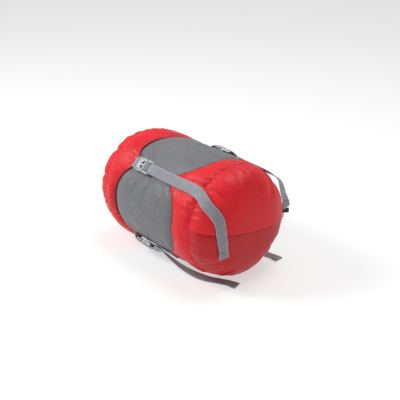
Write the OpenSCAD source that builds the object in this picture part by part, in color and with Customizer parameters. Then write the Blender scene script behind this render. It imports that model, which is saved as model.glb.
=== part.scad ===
// Compression sack: a stuffed drawcord sack lying on its side, closed by a
// sewn lid that four webbing straps pull down over its mouth end.
// The sack's axis runs along X, with the base end at +X and the lid at -X.
// Z = 0 is the surface it lies on, and the front faces -Y.

/* [Sack] */
// Radius of the stuffed fabric tube
body_r = 108; // [95:1:130]
// Distance between the lid's and the base's shoulder seams
tube_len = 257; // [245:1:310]
// How far the base end bulges past its shoulder seam
base_depth = 50; // [35:1:60]
// How much the tube draws in at the base's shoulder seam
shoulder_draw = 2.5; // [1:0.5:6]
// How deep the soft sack is flattened where it lies
flat_depth = 4; // [2:0.5:8]
// Thickness of the fabric shells
skin = 1.3; // [1:0.1:2]
// Clearance between layers that slide or lie on each other
lap_gap = 0.4; // [0.3:0.1:1]

/* [Lid] */
// How far the lid's crown bulges past its shoulder seam
lid_depth = 40; // [36:1:55]
// Length of the lid's skirt at the two front straps
skirt_front = 66; // [50:1:80]
// Length of the lid's skirt at the two back straps
skirt_back = 112; // [90:1:125]
// How far the hem curves back between two straps
hem_scallop = 29; // [15:1:36]

/* [Base] */
// Width of the base's side band at the two front straps
band_front = 77; // [65:1:90]
// Width of the base's side band at the two back straps
band_back = 50; // [44:1:60]
// How far the band's seam curves towards the base between two straps
band_scallop = 30; // [15:1:34]
// Roll of the seam across the base end, in degrees
cross_seam_roll = 7.5; // [0:0.5:15]

/* [Webbing] */
// Width of the webbing
web_w = 20; // [18:1:25]
// Thickness of the webbing
web_t = 1.5; // [1.2:0.1:2]
// Length of each tab from the hem to its buckle
tab_reach = 15; // [12:1:20]
// Length of the stitched part of each tab
tab_sewn = 12; // [8:1:16]
// Length of the folded end of each strap tail
tail_fold = 12; // [8:1:20]

/* [Buckles] */
// Wall of the moulded buckle parts
buckle_wall = 1.5; // [1.2:0.1:2]
// Height of a buckle
buckle_h = 8; // [7:0.5:10]
// Side wall outside the webbing's slot
rail_w = 2.6; // [2:0.1:3.5]
// Length of a buckle's socket
socket_len = 25; // [24:0.5:32]
// Clearance between the moulded parts
mould_gap = 0.3; // [0.2:0.05:0.5]
// Radius of the knuckle that a release arm bends about
knuckle_r = 1.3; // [1:0.1:1.6]
// Running clearance round a knuckle
knuckle_gap = 0.1; // [0.05:0.05:0.15]

/* [Mouth and cord lock] */
// Radius of the gathered mouth's ring
mouth_r = 15; // [13:1:20]
// Radius of the collar's sleeve
collar_r = 4; // [3.5:0.1:5]
// Radius of the drawcord
cord_r = 1.25; // [1:0.05:1.5]
// Outer radius of the cord lock
lock_r = 6.3; // [6:0.1:7]
// Length of the cord lock's barrel
lock_len = 16; // [14:0.5:18]
// Travel of the cord lock's button
lock_travel = 3; // [2:0.5:4]

/* [Hidden] */

$fn = 128;
FRONT_TOP = 0;
BACK_TOP = 1;
FRONT_BOTTOM = 2;
BACK_BOTTOM = 3;
strap_angle = [45, 135, -45, -135];
red = [0.80, 0.12, 0.15];
dark_red = [0.68, 0.10, 0.12];
grey = [0.50, 0.50, 0.53];
web_grey = [0.63, 0.64, 0.68];
buckle_grey = [0.72, 0.74, 0.74];

lid_r = body_r + lap_gap + skin;
axis_z = lid_r - flat_depth;
lid_x = -tube_len / 2;
base_x = tube_len / 2;
shoulder_r = body_r - shoulder_draw;
// Room outside the largest radius, for cutting solids
beyond = body_r + 40;

hem_tip = [lid_x + skirt_front, lid_x + skirt_back, lid_x + skirt_front, lid_x + skirt_back];
band_tip = [base_x - band_front, base_x - band_back, base_x - band_front, base_x - band_back];

// Superellipse of a soft end: (r / r0) ^ round_r + (x / depth) ^ round_x = 1
round_r = 2.6;
round_x = 3;
dome_steps = 12;
function dome(r0, depth) = [for (i = [0:dome_steps]) let (t = 90 * i / dome_steps)
    [r0 * pow(cos(t), 2 / round_r), depth * pow(sin(t), 2 / round_x)]];
function dome_radius(r0, depth, x) = x <= 0 ? r0 : r0 * pow(max(0, 1 - pow(x / depth, round_x)), 1 / round_r);
function dome_reach(r0, depth, r) = depth * pow(max(0, 1 - pow(r / r0, round_r)), 1 / round_x);
function shifted(points, x) = [for (p = points) [p[0], p[1] + x]];
function flipped(points) = [for (i = [len(points) - 1:-1:0]) [points[i][0], -points[i][1]]];

// Mouth end of the load, flat enough to leave room for the cord lock under the lid
mouth_depth = 14;
load_r = body_r - skin - lap_gap;
binding_t = 1;
binding_w = 6;
load_shoulder_r = shoulder_r - skin - binding_t - 2 * lap_gap;

// Radial heights of the layers at a strap
anchor_h = body_r + lap_gap;
buckle_base = lid_r + lap_gap + web_t + mould_gap;
tab_h = lid_r + lap_gap;

// Buckle outline along its own length, from the socket's web bar to the ladder's end bar
buckle_w = web_w + 1 + 2 * rail_w;
bar_r = 1.7;
socket_bar_x = bar_r;
body_start = 2 * bar_r + web_t + 2;
plug_start = socket_len + mould_gap;
bridge_len = 2.2;
wrap_x = plug_start + bridge_len + web_t + 0.8 + bar_r;
thin_bar = 0.9;
thin_x = wrap_x + bar_r + 2 * web_t + 0.8;
end_bar_x = thin_x + thin_bar + 2 * web_t + 1.1;
end_bar_r = 1.3;
plug_end = end_bar_x + end_bar_r;
arm_x = socket_len - 2.6;
arm_y = 7.6;
arm_t = 1.7;
arm_h = buckle_h - 2 * buckle_wall - 2 * mould_gap;
pad_x = [body_start + 2.2, body_start + 9];
pad_out = 1;
buckle_x = [for (s = [0:3]) hem_tip[s] + tab_reach];
// The webbing inside a ladder lock ends turn_out past it, and hand_over away from the rest of the strap
turn_out = 1;
hand_over = 0.4;
ladder_x = [for (s = [0:3]) buckle_x[s] + plug_end + turn_out + hand_over];

// Places x, y, z in a strap's own directions: along the sack, across the strap, outwards
module at_angle(angle) translate([0, 0, axis_z]) rotate([90 - angle, 0, 0]) children();
module at_strap(s) at_angle(strap_angle[s]) children();
module at_buckle(s) at_strap(s) translate([buckle_x[s], 0, buckle_base]) children();

// A profile of [radius, x] points spun about the sack's axis
module spun(points) translate([0, 0, axis_z]) rotate([0, 90, 0]) rotate_extrude() polygon(points);
module below(z, x = beyond * 3) translate([x - beyond * 6, -beyond, z - beyond])
    cube([beyond * 6, beyond * 2, beyond]);

// One quarter of the sack between two straps, about the direction given by angle; the quarters
// overlap a hair so that no sliver is left between them
quarter_lap = 0.03;
module quarter(angle) at_angle(angle) translate([-beyond * 2, 0, 0]) rotate([90, 0, 90])
    linear_extrude(beyond * 4) polygon([[0, -quarter_lap], [beyond, beyond], [-beyond, beyond]]);

// Everything on the lid's side of a seam that crosses the straps at tip and curves by depth
// between them: towards +X when out is 1, towards -X when out is -1
module seam_side(tips, depth, out) {
    half = body_r * sin(45 - asin((web_w / 2 + 1) / body_r));
    for (q = [[0, FRONT_BOTTOM, FRONT_TOP], [90, FRONT_TOP, BACK_TOP],
            [180, BACK_TOP, BACK_BOTTOM], [270, BACK_BOTTOM, FRONT_BOTTOM]]) {
        low = tips[q[1]];
        high = tips[q[2]];
        chord = norm([high - low, 2 * half]) / 2;
        arc_r = (chord * chord + depth * depth) / (2 * depth);
        normal = [2 * half, low - high] / (2 * chord);
        centre = [(low + high) / 2, 0] - out * (arc_r - depth) * normal;
        step_y = max(-half, min(half, centre[1]));
        intersection() {
            quarter(q[0]);
            at_angle(q[0]) linear_extrude(beyond) {
                if (out > 0) union() {
                    side_outline(low, high, step_y);
                    translate(centre) circle(arc_r);
                }
                else difference() {
                    side_outline(low, high, step_y);
                    translate(centre) circle(arc_r);
                }
            }
        }
    }
}
// Up to low on one side and up to high on the other; the step between them lies inside the curve
module side_outline(low, high, step_y) polygon([[-beyond * 2, -beyond], [low, -beyond], [low, step_y],
    [high, step_y], [high, beyond], [-beyond * 2, beyond]]);

// A flat strip standing web_w wide across the strap, drawn along [x, height] points
function strip_normal(path, i) = let (a = path[max(0, i - 1)], b = path[min(len(path) - 1, i + 1)])
    [a[1] - b[1], b[0] - a[0]] / norm(b - a);
module strip(path, width = web_w, thick = web_t) rotate([90, 0, 0]) translate([0, 0, -width / 2])
    linear_extrude(width) polygon(concat(
        [for (i = [0:len(path) - 1]) path[i] + strip_normal(path, i) * thick / 2],
        [for (i = [len(path) - 1:-1:0]) path[i] - strip_normal(path, i) * thick / 2]));
// Points round a bar, from angle a to angle b, as [x, height]
function round_bar(x, h, r, a, b, n = 6) = [for (i = [0:n]) let (t = a + (b - a) * i / n)
    [x + r * cos(t), h + r * sin(t)]];

// A ribbon swept along points in space, each with its own sideways direction
function unit(v) = v / norm(v);
function spline(p, i, t) = let (a = p[max(0, i - 1)], b = p[i], c = p[i + 1], d = p[min(len(p) - 1, i + 2)])
    0.5 * (2 * b + (c - a) * t + (2 * a - 5 * b + 4 * c - d) * t * t + (3 * b - a - 3 * c + d) * t * t * t);
ribbon_steps = 4;
function smooth_path(p) = concat(
    [for (i = [0:len(p) - 2]) for (k = [0:ribbon_steps - 1]) spline(p, i, k / ribbon_steps)],
    [p[len(p) - 1]]);
module ribbon(points, sides, width, thick, fold) {
    path = smooth_path(points);
    across = smooth_path(sides);
    last = len(path) - 1;
    corners = [for (i = [0:last]) let (
            along = unit(path[min(last, i + 1)] - path[max(0, i - 1)]),
            side = unit(across[i] - (across[i] * along) * along),
            out = cross(along, side),
            folded = norm(path[last] - path[i]) <= fold,
            up = folded ? thick * 1.5 : thick / 2,
            half = width / 2)
        each [path[i] - side * half - out * thick / 2, path[i] + side * half - out * thick / 2,
            path[i] + side * half + out * up, path[i] - side * half + out * up]];
    polyhedron(corners, concat([[0, 1, 2, 3]],
        [for (i = [0:last - 1]) for (k = [0:3]) let (m = (k + 1) % 4)
            each [[4 * i + k, 4 * i + 4 + k, 4 * i + m], [4 * i + m, 4 * i + 4 + k, 4 * i + 4 + m]]],
        [[4 * last + 3, 4 * last + 2, 4 * last + 1, 4 * last]]));
}

// ---- The stuffed sack ----

module packed_load() color("gainsboro") difference() {
    spun(concat([[0, lid_x - mouth_depth]], shifted(flipped(dome(load_r, mouth_depth)), lid_x),
        [[load_r, base_x - binding_w - 4], [load_shoulder_r, base_x - binding_w / 2 - lap_gap]],
        shifted(dome(load_shoulder_r, base_depth - skin - lap_gap), base_x)));
    below(2 * skin + 2 * lap_gap);
}

// The grey tube, gathered over the load's mouth end, where the lid covers it
module tube_solid(r, depth, z) difference() {
    spun(concat(shifted(flipped(dome(r, depth)), lid_x), [[r, base_x], [0, base_x]]));
    below(z);
    below(z + skin + lap_gap, hem_tip[BACK_TOP] + 1);
}
module body_tube() color(grey) difference() {
    intersection() {
        tube_solid(body_r, mouth_depth + skin + lap_gap, 0);
        seam_side(band_tip, band_scallop, 1);
    }
    tube_solid(body_r - skin, mouth_depth + lap_gap, skin);
    at_collar() cylinder(r = mouth_r, h = beyond, center = true);
}

module mouth_collar() color(grey) difference() {
    union() {
        spun([[mouth_r - skin, collar_x], [mouth_r - skin, sheet_x], [mouth_r, sheet_x], [mouth_r, collar_x]]);
        at_collar() rotate_extrude() translate([mouth_r, 0]) circle(collar_r, $fn = 48);
    }
    at_collar() rotate_extrude() translate([mouth_r, 0]) circle(collar_r - skin, $fn = 48);
    at_lock() rotate([90, 0, 0]) cylinder(r = 2 * cord_r + 1, h = 2 * mouth_r, center = true);
}

sheet_x = lid_x - mouth_depth - skin - lap_gap;
lock_x = sheet_x - lap_gap - lock_r;
collar_x = lock_x;
lock_y = -mouth_r - collar_r - lock_r - 3;
strand_z = cord_r + 0.15;
module at_collar() translate([collar_x, 0, axis_z]) rotate([0, 90, 0]) children();
module at_lock() translate([lock_x, lock_y, axis_z]) children();

// The cord runs round inside the collar; its two ends leave through a slot, pass through the
// cord lock one above the other and are tied off in a knot
knot_r = 3;
strand_start = -mouth_r + 1;
strand_end = lock_y - lock_r - knot_r - 1;
module drawcord() color("dimgray") {
    difference() {
        at_collar() rotate_extrude() translate([mouth_r, 0]) circle(cord_r, $fn = 32);
        translate([collar_x, -mouth_r, axis_z]) cube([collar_r * 2, mouth_r, 2 * strand_z], center = true);
    }
    for (side = [-1, 1]) translate([collar_x, strand_start, axis_z + side * strand_z])
        rotate([90, 0, 0]) cylinder(r = cord_r, h = strand_start - strand_end, $fn = 32);
    translate([collar_x, strand_end - 1, axis_z]) sphere(knot_r, $fn = 32);
}

lock_bore = 4.4;
button_r = lock_bore - 0.1;
cord_slot = [2 * cord_r + 0.6, 4 * cord_r + 1.2];
module cord_slots(extra) at_lock() translate([-cord_slot[0] / 2, -lock_r - 1, -cord_slot[1] / 2])
    cube([cord_slot[0], 2 * lock_r + 2, cord_slot[1] + extra]);
button_low = -cord_slot[1] / 2 - 2;
barrel_low = button_low - lock_travel - 4;

module cord_lock_barrel() color("black") difference() {
    at_lock() translate([0, 0, barrel_low]) cylinder(r = lock_r, h = lock_len, $fn = 64);
    at_lock() translate([0, 0, barrel_low + 1.5]) cylinder(r = lock_bore, h = lock_len, $fn = 64);
    cord_slots(0);
}

module cord_lock_button() color("black") difference() {
    at_lock() union() {
        translate([0, 0, button_low])
            cylinder(r = button_r, h = barrel_low + lock_len - button_low + lock_travel + 1.5, $fn = 64);
        translate([0, 0, barrel_low + lock_len + lock_travel + 0.4])
            cylinder(r = lock_r - 0.5, h = 2.5, $fn = 64);
    }
    cord_slots(lock_travel);
}

spring_wire = 0.35;
spring_turns = 4;
spring_sides = 6;
spring_steps = 14;
module cord_lock_spring() color("silver") at_lock() {
    bottom = barrel_low + 1.5 + spring_wire + 0.05;
    rise = button_low - bottom - spring_wire - 0.05;
    rings = spring_turns * spring_steps;
    points = [for (i = [0:rings]) for (k = [0:spring_sides - 1]) let (
            turn = 360 * i / spring_steps,
            ring = 360 * k / spring_sides,
            r = 3 + spring_wire * cos(ring))
        [r * cos(turn), r * sin(turn), bottom + rise * i / rings + spring_wire * sin(ring)]];
    polyhedron(points, concat([[for (k = [0:spring_sides - 1]) k]],
        [for (i = [0:rings - 1]) for (k = [0:spring_sides - 1]) let (
                m = (k + 1) % spring_sides,
                a = spring_sides * i,
                b = a + spring_sides)
            each [[a + k, b + k, a + m], [a + m, b + k, b + m]]],
        [[for (k = [spring_sides - 1:-1:0]) spring_sides * rings + k]]));
}

// ---- The base ----

// Where the side band starts to draw in to the shoulder seam
draw_x = base_x - binding_w - 6;
module band_solid(r, end_r, start, z) difference() {
    spun([[0, start], [r, start], [r, draw_x], [end_r, base_x], [0, base_x]]);
    below(z);
}
module base_side_band() color(red) difference() {
    band_solid(body_r, shoulder_r, min(band_tip) - 1, 0);
    band_solid(body_r - skin, shoulder_r - skin, min(band_tip) - 2, skin);
    seam_side(band_tip, band_scallop, 1);
}

module base_shell() difference() {
    spun(concat(shifted(dome(shoulder_r, base_depth), base_x),
        [for (i = [dome_steps:-1:0]) dome(shoulder_r - skin, base_depth - skin)[i] + [0, base_x]]));
    below(0);
}
module lower_half() translate([0, 0, axis_z]) rotate([-cross_seam_roll, 0, 0])
    translate([0, -beyond, -2 * beyond]) cube([beyond * 2, beyond * 2, beyond * 2]);

module base_end_upper() color(red) difference() {
    base_shell();
    lower_half();
}

module base_end_lower() color(dark_red) intersection() {
    base_shell();
    lower_half();
}

module shoulder_binding() color(dark_red) difference() {
    inner = shoulder_r - skin - lap_gap;
    spun([[inner - binding_t, base_x - binding_w / 2], [inner, base_x - binding_w / 2],
        [inner, base_x + binding_w / 2], [inner - binding_t, base_x + binding_w / 2]]);
    below(skin);
}

// The tab and the label are sewn into the shoulder seam where the cross seam meets it at the back
label_h = 30;
label_reach = 17;
tab_black_h = 9;
tab_black_reach = 24;
label_lean = 28;
module at_label() translate([base_x + 8, shoulder_r + 0.6, axis_z - shoulder_r * sin(cross_seam_roll) + 3])
    rotate([0, 0, -label_lean]) children();
module pull_tab() color("black") at_label() translate([0.7, 0, -tab_black_h / 2])
    cube([2.2, tab_black_reach, tab_black_h]);
module care_label() color("white") at_label() translate([-0.7, 0, -label_h / 2 - 2])
    cube([0.8, label_reach, label_h]);

// ---- Straps ----

// The fixed lower layer of a strap, from its buckle to the seam that it is sewn into
module anchor(s) color(web_grey) at_strap(s) strip([[ladder_x[s], buckle_base + under_h],
    [ladder_x[s] + 4, buckle_base + under_h - 0.1], [ladder_x[s] + 14, anchor_h + web_t / 2],
    [band_tip[s] + tab_sewn / 2, anchor_h + web_t / 2]]);

// A bar of dense stitching across a strap
bartack_t = 0.5;
bartack_w = 2;
module bartack(x, h) translate([x, -web_w / 2 + 1, h]) cube([bartack_w, web_w - 2, bartack_t]);
module anchor_bartacks() color("dimgray") for (s = [0:3]) at_strap(s)
    bartack(band_tip[s] + 1, anchor_h + web_t);
module tab_bartacks() color("dimgray") for (s = [0:3]) at_strap(s) for (x = [-tab_sewn + 1.5, -3.5])
    bartack(hem_tip[s] + x, tab_h + 2 * web_t + lap_gap);

// A short tab that holds the socket: sewn to the lid, round the socket's web bar and back
module tab(s) color(web_grey) at_strap(s) {
    bar_x = buckle_x[s] + socket_bar_x;
    bar_h = buckle_base + buckle_h / 2;
    low = tab_h + web_t / 2;
    high = low + web_t + lap_gap;
    turn_r = bar_r + mould_gap + web_t / 2;
    strip(concat([[hem_tip[s] - tab_sewn, low], [hem_tip[s] + 3, low], [bar_x - 5, low + 0.6]],
        round_bar(bar_x, bar_h, turn_r, -115, 110, 10),
        [[bar_x - 6, bar_h + turn_r - 1.6], [hem_tip[s] + 2, high + 0.6], [hem_tip[s] - 1, high],
            [hem_tip[s] - tab_sewn, high]]));
}

// Heights of the ladder's bars above the buckle's base
bar_h = buckle_h / 2;
thin_h = bar_h + 0.2;
end_bar_h = bar_h - 0.4;
turn_gap = 0.25;
web_round = bar_r + turn_gap + web_t / 2;
thin_round = thin_bar + turn_gap + web_t / 2;
end_round = end_bar_r + turn_gap + web_t / 2;
under_h = -mould_gap - web_t / 2 - 0.1;
tail_start_h = buckle_base + end_bar_h + end_round;
// The part of a strap inside the ladder lock: under it, over the first bar, under the thin bar
// and out over the end bar
module turn(s) color(web_grey) at_buckle(s) strip(concat(
    [[plug_end + turn_out, under_h], [wrap_x + 2, under_h], [wrap_x, under_h + 0.4]],
    [for (p = round_bar(wrap_x, bar_h, web_round, 215, 25, 8)) p],
    round_bar(thin_x, thin_h, thin_round, 215, 320, 5),
    round_bar(end_bar_x, end_bar_h, end_round, 150, 90, 3),
    [[plug_end + turn_out, end_bar_h + end_round]]));

// A point on the sack at x, at an angle round it, lifted off its surface
function on_sack(x, angle, lift) = let (r = dome_radius(shoulder_r, base_depth, x - base_x) + lift)
    [x, -r * cos(angle), axis_z + r * sin(angle)];
// A point in front of the base end, with y and z as shares of the sack's radius
function on_end(y, z, lift) = [base_x + dome_reach(shoulder_r, base_depth, body_r * norm([y, z])) + lift,
    y * body_r, axis_z + z * body_r];
// A point over the floor, by its distance past the base's shoulder seam
function on_floor(x, y, height) = [base_x + x, y * body_r, web_t / 2 + height];

lie = shoulder_draw + lap_gap + web_t / 2 + 0.6;
over_anchor = lie + web_t + lap_gap;
// A tail that lies on the floor is lifted at its end by the fold beneath it
fold_lift = web_t + 0.1;
function tail_start(s) = [for (k = [[0, 1], [3, 0.97], [14, 0.45], [26, 0.12]]) let (
        high = tail_start_h - body_r + shoulder_draw,
        lift = over_anchor + (high - over_anchor) * k[1])
    on_sack(ladder_x[s] + k[0], strap_angle[s], lift)];
function side_of(angle) = [0, sin(angle), cos(angle)];
tails = [
    concat(tail_start(FRONT_TOP), [on_sack(band_tip[FRONT_TOP], 45, over_anchor),
        on_sack(band_tip[FRONT_TOP] + 18, 45, lie), on_sack(base_x - 16, 45, lie), on_sack(base_x + 5, 44, 5),
        on_sack(base_x + 27, 39, 6), on_end(-0.69, 0.37, 8.5), on_end(-0.67, 0.14, 7.5),
        on_end(-0.64, -0.09, 7), on_end(-0.61, -0.315, 7)]),
    concat(tail_start(BACK_TOP), [on_sack(band_tip[BACK_TOP] + 2, 135, over_anchor),
        on_sack(base_x - 22, 135, lie + 1), on_sack(base_x - 2, 136, 5), on_sack(base_x + 14, 140, 7),
        on_sack(base_x + 26, 148, 12), on_end(0.88, 0.33, 13), on_end(0.92, 0.2, 15), on_end(0.94, 0.08, 16)]),
    concat(tail_start(FRONT_BOTTOM), [on_floor(-88, -0.73, 20.5), on_floor(-60, -0.70, 12.5),
        on_floor(-34, -0.63, 5), on_floor(-8, -0.53, 0.4), on_floor(12, -0.44, 0.8),
        on_floor(31, -0.36, fold_lift), on_floor(50, -0.30, fold_lift)]),
    concat(tail_start(BACK_BOTTOM), [on_floor(-38, 0.79, 14), on_floor(-18, 0.83, 5), on_floor(0, 0.86, 0.5),
        on_floor(16, 0.88, fold_lift), on_floor(31, 0.89, fold_lift)])];
function held(s, n) = [for (i = [1:n]) side_of(strap_angle[s])];
tail_sides = [
    concat(held(FRONT_TOP, 8), [side_of(38), side_of(30), side_of(22), side_of(14), side_of(10)]),
    concat(held(BACK_TOP, 7), [[-0.05, 0.75, -0.65], [-0.1, 0.8, -0.6], [-0.1, 0.83, -0.55],
        [-0.1, 0.84, -0.53], [-0.1, 0.84, -0.53]]),
    concat(held(FRONT_BOTTOM, 4), [side_of(-55), side_of(-68), side_of(-82), side_of(-90), side_of(-90),
        side_of(-90), side_of(-90)]),
    concat(held(BACK_BOTTOM, 4), [side_of(-118), side_of(-100), side_of(-90), side_of(-90), side_of(-90)])];
module tail(s) color(web_grey) ribbon(tails[s], tail_sides[s], web_w, web_t, tail_fold);

// ---- The lid ----

module skirt_solid(r, start, end, z) difference() {
    spun([[0, start], [r, start], [r, end], [0, end]]);
    below(z);
}
module lid_skirt() color(red) difference() {
    intersection() {
        skirt_solid(lid_r, lid_x, max(hem_tip) + 1, 0);
        seam_side(hem_tip, hem_scallop, -1);
    }
    skirt_solid(lid_r - skin, lid_x - 1, max(hem_tip) + 2, skin);
}

module crown_solid(r, depth, z) difference() {
    spun(concat(shifted(flipped(dome(r, depth)), lid_x), [[0, lid_x]]));
    below(z);
}
module lid_crown() color(red) difference() {
    crown_solid(lid_r, lid_depth, 0);
    translate([0.01, 0, 0]) crown_solid(lid_r - skin, lid_depth - skin, skin);
}

// ---- Buckles, each in its own directions: x along, y across, z outwards ----

half_w = buckle_w / 2;
slot_half = web_w / 2 + 0.5;

// Hourglass cut in the socket's sides that shows the release pads
module side_notch(side) translate([(pad_x[0] + pad_x[1]) / 2, side * (half_w + 4.4), -1])
    cylinder(r = 8, h = buckle_h + 2);

module socket(s) color(buckle_grey) at_buckle(s) difference() {
    union() {
        translate([socket_bar_x, 0, bar_h]) rotate([90, 0, 0]) cylinder(r = bar_r, h = buckle_w - 1, center = true);
        for (side = [-1, 1]) translate([socket_bar_x, side * (half_w - rail_w / 2) - rail_w / 2, bar_h - bar_r])
            cube([body_start + 1 - socket_bar_x, rail_w, 2 * bar_r]);
        translate([body_start, -half_w, 0]) cube([socket_len - body_start, buckle_w, buckle_h]);
    }
    // Hollow for the plug's tongue and arms, open at the mouth
    translate([body_start + buckle_wall, -half_w + rail_w, buckle_wall])
        cube([socket_len, buckle_w - 2 * rail_w, buckle_h - 2 * buckle_wall]);
    for (side = [-1, 1]) {
        side_notch(side);
        translate([pad_x[0] - 1, side * half_w - (rail_w + 1), buckle_wall])
            cube([pad_x[1] - pad_x[0] + 1 + mould_gap, 2 * (rail_w + 1), buckle_h - 2 * buckle_wall]);
    }
    // Windows in the top face, which leave crossed ribs between the notches and the mouth
    translate([0, 0, buckle_h - buckle_wall - 1]) linear_extrude(buckle_wall + 2) for (side = [-1, 1])
        polygon([[socket_len - 2, side * 1.6], [socket_len - 2, side * 9], [socket_len - 4.5, side * 9],
            [socket_len - 9, side * 3.4], [socket_len - 8, side * 1.6]]);
}

module plug(s) color(buckle_grey) at_buckle(s) difference() {
    union() {
        // Tongue that guides the plug in the socket
        translate([body_start + buckle_wall + 2, -2.4, buckle_wall + mould_gap])
            cube([plug_start - body_start - buckle_wall, 4.8, arm_h]);
        // Bridge across the socket's mouth, with cheeks that hold the arms' knuckles
        translate([plug_start, -half_w + 0.5, 0.6]) cube([bridge_len, buckle_w - 1, buckle_h - 1.2]);
        translate([arm_x - knuckle_r - 1, -arm_y - 2.6, buckle_wall + mould_gap])
            cube([plug_start - arm_x + knuckle_r + 1.5, 2 * arm_y + 5.2, arm_h]);
        for (side = [-1, 1]) translate([plug_start, side * (half_w - rail_w / 2) - rail_w / 2, 0.8])
            cube([end_bar_x - plug_start, rail_w, buckle_h - 2.2]);
        translate([wrap_x, 0, bar_h]) rotate([90, 0, 0]) cylinder(r = bar_r, h = buckle_w - 1, center = true);
        translate([thin_x, 0, thin_h]) rotate([90, 0, 0]) cylinder(r = thin_bar, h = buckle_w - 1, center = true);
        translate([end_bar_x, 0, end_bar_h]) rotate([90, 0, 0]) cylinder(r = end_bar_r, h = buckle_w, center = true);
    }
    for (side = [-1, 1]) translate([arm_x, side * arm_y, 0]) {
        translate([0, 0, -1]) cylinder(r = knuckle_r + knuckle_gap, h = buckle_h + 2, $fn = 48);
        // Room for the arm to swing inwards
        translate([-20, side > 0 ? -3.6 : -(arm_t / 2 + 0.7), -1])
            cube([20, 3.6 + arm_t / 2 + 0.7, buckle_h + 2]);
    }
}

// A release arm: a beam from its knuckle to a thumb pad that shows in the socket's notch
module arm(s, side) color(buckle_grey) at_buckle(s) translate([0, 0, buckle_wall + mould_gap]) {
    translate([arm_x, side * arm_y, 0]) cylinder(r = knuckle_r, h = arm_h, $fn = 48);
    translate([pad_x[0] + 1, side * arm_y - arm_t / 2, 0]) cube([arm_x - pad_x[0] - 1, arm_t, arm_h]);
    linear_extrude(arm_h) polygon([[pad_x[0], side * arm_y], [pad_x[0] + 0.4, side * (half_w + pad_out)],
        [pad_x[0] + 2, side * (half_w + pad_out)], [pad_x[1], side * (half_w - 1.2)], [pad_x[1], side * arm_y]]);
}

packed_load();
body_tube();
mouth_collar();
drawcord();
cord_lock_barrel();
cord_lock_button();
cord_lock_spring();
base_side_band();
base_end_upper();
base_end_lower();
shoulder_binding();
pull_tab();
care_label();
anchor(FRONT_TOP);  // anchor_front_top
anchor(BACK_TOP);  // anchor_back_top
anchor(FRONT_BOTTOM);  // anchor_front_bottom
anchor(BACK_BOTTOM);  // anchor_back_bottom
tail(FRONT_TOP);  // tail_front_top
tail(BACK_TOP);  // tail_back_top
tail(FRONT_BOTTOM);  // tail_front_bottom
tail(BACK_BOTTOM);  // tail_back_bottom
anchor_bartacks();
lid_skirt();
lid_crown();
tab(FRONT_TOP);  // tab_front_top
tab(BACK_TOP);  // tab_back_top
tab(FRONT_BOTTOM);  // tab_front_bottom
tab(BACK_BOTTOM);  // tab_back_bottom
tab_bartacks();
turn(FRONT_TOP);  // turn_front_top
turn(BACK_TOP);  // turn_back_top
turn(FRONT_BOTTOM);  // turn_front_bottom
turn(BACK_BOTTOM);  // turn_back_bottom
socket(FRONT_TOP);  // socket_front_top
socket(BACK_TOP);  // socket_back_top
socket(FRONT_BOTTOM);  // socket_front_bottom
socket(BACK_BOTTOM);  // socket_back_bottom
plug(FRONT_TOP);  // plug_front_top
plug(BACK_TOP);  // plug_back_top
plug(FRONT_BOTTOM);  // plug_front_bottom
plug(BACK_BOTTOM);  // plug_back_bottom
arm(FRONT_TOP, 1);  // arm_front_top_left
arm(FRONT_TOP, -1);  // arm_front_top_right
arm(BACK_TOP, 1);  // arm_back_top_left
arm(BACK_TOP, -1);  // arm_back_top_right
arm(FRONT_BOTTOM, 1);  // arm_front_bottom_left
arm(FRONT_BOTTOM, -1);  // arm_front_bottom_right
arm(BACK_BOTTOM, 1);  // arm_back_bottom_left
arm(BACK_BOTTOM, -1);  // arm_back_bottom_right
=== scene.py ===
import math

import bmesh
import bpy
import numpy as np
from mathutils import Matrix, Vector
from mathutils.bvhtree import BVHTree


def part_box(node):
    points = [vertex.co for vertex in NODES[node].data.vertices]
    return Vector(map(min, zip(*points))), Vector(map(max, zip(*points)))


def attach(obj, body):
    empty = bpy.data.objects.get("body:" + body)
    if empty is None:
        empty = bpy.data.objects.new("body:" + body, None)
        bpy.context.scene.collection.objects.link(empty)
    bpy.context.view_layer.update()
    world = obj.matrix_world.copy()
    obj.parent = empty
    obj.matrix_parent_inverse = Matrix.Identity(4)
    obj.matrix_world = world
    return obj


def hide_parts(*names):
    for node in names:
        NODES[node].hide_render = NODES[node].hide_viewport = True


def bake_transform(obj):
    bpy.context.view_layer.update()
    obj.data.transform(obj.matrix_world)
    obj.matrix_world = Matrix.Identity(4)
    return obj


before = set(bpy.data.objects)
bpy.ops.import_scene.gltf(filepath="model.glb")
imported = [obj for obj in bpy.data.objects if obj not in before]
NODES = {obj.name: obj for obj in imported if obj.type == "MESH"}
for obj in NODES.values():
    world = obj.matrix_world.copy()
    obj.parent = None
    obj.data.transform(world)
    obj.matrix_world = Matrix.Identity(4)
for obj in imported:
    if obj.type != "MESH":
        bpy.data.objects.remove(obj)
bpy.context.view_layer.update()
SCENE = bpy.context.scene
MM = 0.001

# --- Sizes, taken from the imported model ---


def low(node):
    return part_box(node)[0]


def high(node):
    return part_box(node)[1]


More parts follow.
